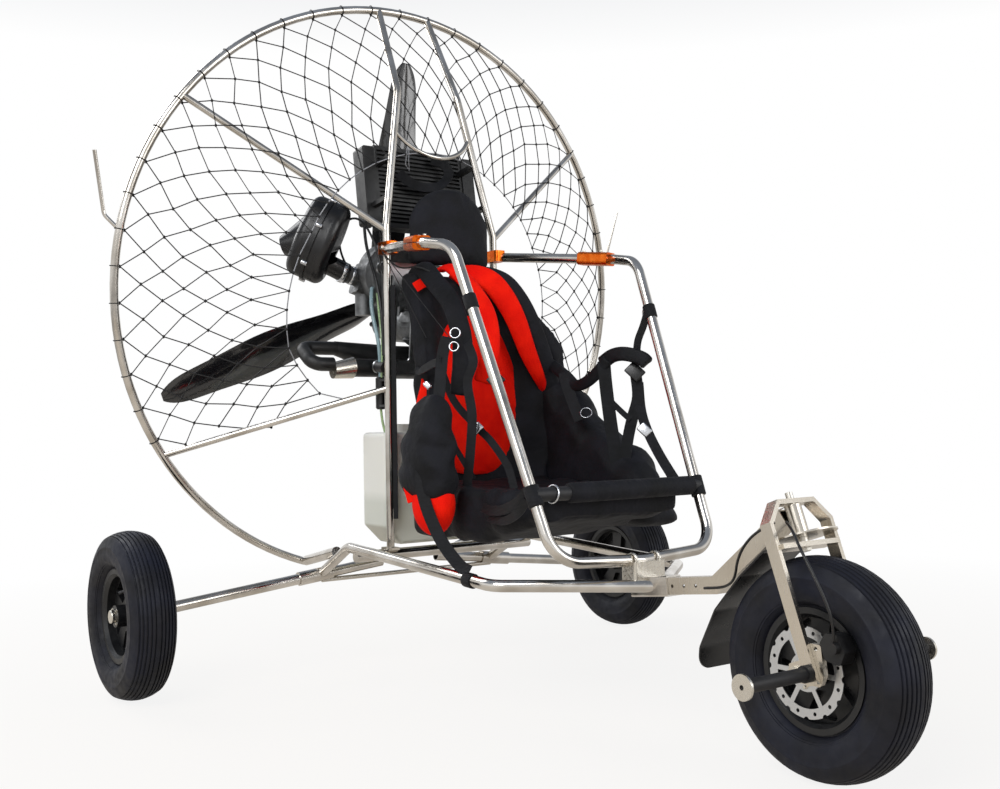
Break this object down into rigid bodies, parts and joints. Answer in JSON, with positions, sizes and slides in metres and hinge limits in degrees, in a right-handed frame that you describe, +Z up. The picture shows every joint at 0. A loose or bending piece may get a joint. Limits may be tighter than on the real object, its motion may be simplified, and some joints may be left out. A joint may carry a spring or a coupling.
{
  "type": "paramotor trike",
  "caption": "Powered-paraglider trike: tubular frame on three wheels, hooped propeller cage, rear engine, harness seat and a steered front wheel with foot pegs",
  "frame": {"origin": "on the floor, midway between the rear axle and the front axle, in the symmetry plane", "axes": "+X to the nose, +Y to the pilot's left, +Z up"},
  "size_m": [1.8228, 1.6778, 1.7957],
  "materials": {
    "tyre": "black rubber",
    "rim_black": "satin black",
    "tube_steel": "brushed",
    "cage_tube": "satin",
    "nose_tube": "satin",
    "orange": "anodised orange",
    "zinc": "bright",
    "machined": "machined",
    "black_metal": "black",
    "cast_alloy": "grey cast",
    "black_plastic": "black",
    "black_rubber": "black rubber",
    "carbon": "clear-coated black",
    "tank_white": "natural white",
    "fabric_black": "woven black",
    "roll_foam": "foam"
  },
  "bodies": {
    "frame": {"side_beams": "tube_steel", "axle_arms": "tube_steel", "rear_tie": "tube_steel", "base_tube": "tube_steel", "masts": "tube_steel", "handle_bar": "tube_steel", "arms": "tube_steel", "front_loop": "tube_steel", "silencer_end_cap": "tube_steel", "cage_hoop": "cage_tube", "cage_spars": "cage_tube", "line_guards": "cage_tube", "nose_beam": "nose_tube", "nose_socket": "nose_tube", "mast_brackets": "orange", "collars": "orange", "loop_clamps": "zinc", "wheel_nuts": "zinc", "engine_plate": "machined", "exhaust": "black_metal", "exhaust_chamber": "black_metal", "silencer": "black_metal", "radiator": "black_metal", "engine_block": "cast_alloy", "gearbox": "cast_alloy", "cylinder_head": "cast_alloy", "carburettor": "cast_alloy", "air_box": "black_plastic", "fuel_filter": "black_plastic", "engine_mounts": "black_rubber", "brake_cable_high": "black_rubber", "fuel_tank": "tank_white", "back_pad": "fabric_black", "seat": "fabric_black", "side_bag_right": "fabric_black", "side_bag_left": "fabric_black", "head_pad": "fabric_black", "knee_roll": "roll_foam"},
    "rear_wheel_right": {"rear_tyre_right": "tyre", "rear_rim_right": "rim_black"},
    "rear_wheel_left": {"rear_tyre_left": "tyre", "rear_rim_left": "rim_black"},
    "front_wheel": {"front_tyre": "tyre", "front_rim": "rim_black", "brake_disc": "machined"},
    "steering": {"fork": "tube_steel", "head_spindle": "zinc", "crown_disc": "tube_steel", "mudguard": "black_plastic", "foot_pegs": "black_rubber", "peg_plates": "zinc", "axle_plates": "machined", "front_axle": "zinc", "caliper": "black_metal", "brake_cable_low": "black_rubber"},
    "propeller": {"propeller": "carbon", "propeller_hub": "machined"}
  },
  "joints": [
    {"name": "rear_wheel_right_spin", "type": "hinge", "parent": "frame", "child": "rear_wheel_right", "pos_m": [-0.7115, -0.774, 0.2], "axis": [0, 1, 0], "continuous": true},
    {"name": "rear_wheel_left_spin", "type": "hinge", "parent": "frame", "child": "rear_wheel_left", "pos_m": [-0.7115, 0.774, 0.2], "axis": [0, 1, 0], "continuous": true},
    {"name": "steering_turn", "type": "hinge", "parent": "frame", "child": "steering", "pos_m": [0.6551, 0, 0.45936], "axis": [-0.342, 0, 0.9397], "range_deg": [-25, 25]},
    {"name": "front_wheel_spin", "type": "hinge", "parent": "steering", "child": "front_wheel", "pos_m": [0.7115, 0, 0.2], "axis": [0, 1, 0], "continuous": true},
    {"name": "propeller_spin", "type": "hinge", "parent": "frame", "child": "propeller", "pos_m": [-0.8435, 0, 0.99], "axis": [0.994, 0, -0.1097], "continuous": true}
  ]
}
